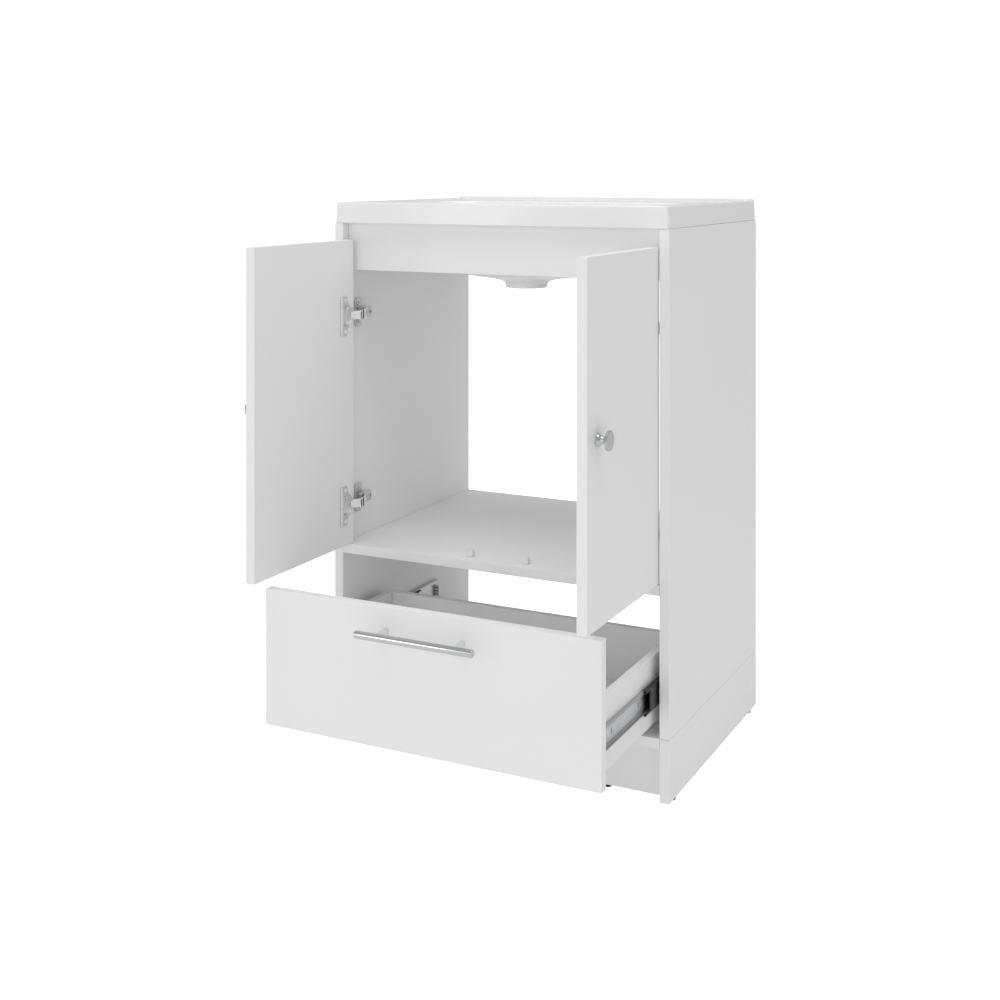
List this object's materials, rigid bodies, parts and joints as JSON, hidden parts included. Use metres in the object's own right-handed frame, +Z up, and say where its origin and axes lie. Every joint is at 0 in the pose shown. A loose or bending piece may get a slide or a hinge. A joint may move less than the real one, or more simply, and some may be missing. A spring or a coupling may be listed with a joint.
{
  "type": "bathroom vanity cabinet",
  "caption": "White free-standing vanity unit with an open back: cast washbasin on top, two inset doors on concealed hinges, and one inset drawer on telescopic slides with a bar handle.",
  "frame": {"origin": "on the floor, under the middle of the stored part's footprint (doors open, drawer pulled out)", "axes": "+Z up, +Y towards the wall behind the cabinet, doors and drawer on the -Y side, +X to the right of someone facing the doors"},
  "size_m": [0.6028, 0.736, 0.9151],
  "materials": {
    "laminate": "matt white laminate on particle board",
    "drawer_white": "matt white laminate",
    "cast_basin": "opaque white glazed cast basin, satin gloss",
    "chrome": "polished chrome",
    "nickel": "nickel plated pressed steel",
    "brushed": "satin steel",
    "zinc": "zinc plated rolled steel",
    "white_plastic": "white moulded plastic",
    "black_plastic": "black moulded plastic"
  },
  "bodies": {
    "carcass": {"side_panel_left": "laminate", "plinth_side_left": "laminate", "side_panel_right": "laminate", "plinth_side_right": "laminate", "bottom_board": "laminate", "plinth_front": "laminate", "plinth_rear": "laminate", "middle_shelf": "laminate", "rail_front": "laminate", "rail_rear": "laminate", "door_stop_left": "white_plastic", "door_stop_right": "white_plastic", "glide_left_front": "black_plastic", "glide_left_rear": "black_plastic", "glide_right_front": "black_plastic", "glide_right_rear": "black_plastic", "glide_plinth_left": "black_plastic", "glide_plinth_right": "black_plastic", "washbasin": "cast_basin", "hinge_arm_left_lower": "nickel", "hinge_mount_left_lower": "nickel", "hinge_arm_left_upper": "nickel", "hinge_mount_left_upper": "nickel", "hinge_arm_right_lower": "nickel", "hinge_mount_right_lower": "nickel", "hinge_arm_right_upper": "nickel", "hinge_mount_right_upper": "nickel", "slide_cabinet_left": "zinc", "slide_cabinet_right": "zinc"},
    "left_door": {"door_left": "laminate", "knob_left": "chrome", "hinge_cup_left_lower": "nickel", "hinge_cup_left_upper": "nickel"},
    "right_door": {"door_right": "laminate", "knob_right": "chrome", "hinge_cup_right_lower": "nickel", "hinge_cup_right_upper": "nickel"},
    "left_hinge_links": {"hinge_link_left_lower": "nickel", "hinge_link_left_upper": "nickel"},
    "right_hinge_links": {"hinge_link_right_lower": "nickel", "hinge_link_right_upper": "nickel"},
    "slide_middles": {"slide_middle_left": "zinc", "slide_middle_right": "zinc"},
    "drawer": {"drawer_front": "laminate", "drawer_side_left": "drawer_white", "drawer_side_right": "drawer_white", "drawer_back": "drawer_white", "drawer_floor": "drawer_white", "slide_drawer_left": "zinc", "slide_drawer_right": "zinc", "handle_bar": "brushed", "handle_post_left": "brushed", "handle_post_right": "brushed"}
  },
  "joints": [
    {"name": "left_door_hinge", "type": "hinge", "parent": "carcass", "child": "left_door", "pos_m": [-0.2795, -0.0895, 0.5929], "axis": [0, 0, 1], "range_deg": [-5, 90]},
    {"name": "right_door_hinge", "type": "hinge", "parent": "carcass", "child": "right_door", "pos_m": [0.2795, -0.0895, 0.5929], "axis": [0, 0, 1], "range_deg": [-90, 5]},
    {"name": "left_hinge_link_fold", "type": "hinge", "parent": "carcass", "child": "left_hinge_links", "pos_m": [-0.2555, -0.083, 0.563], "axis": [0, 0, 1], "range_deg": [-48.6, 2.7]},
    {"name": "right_hinge_link_fold", "type": "hinge", "parent": "carcass", "child": "right_hinge_links", "pos_m": [0.2555, -0.083, 0.563], "axis": [0, 0, 1], "range_deg": [-2.7, 48.6]},
    {"name": "drawer_slide", "type": "slide", "parent": "carcass", "child": "drawer", "axis": [0, -1, 0], "range_m": [-0.2245, 0.0755]},
    {"name": "slide_middle_travel", "type": "slide", "parent": "carcass", "child": "slide_middles", "axis": [0, -1, 0], "range_m": [-0.06735, 0.02265]}
  ],
  "couplings": [
    {"joint": "left_hinge_link_fold", "follows": "left_door_hinge", "ratio": -0.54},
    {"joint": "right_hinge_link_fold", "follows": "right_door_hinge", "ratio": -0.54},
    {"joint": "slide_middle_travel", "follows": "drawer_slide", "ratio": 0.3}
  ]
}
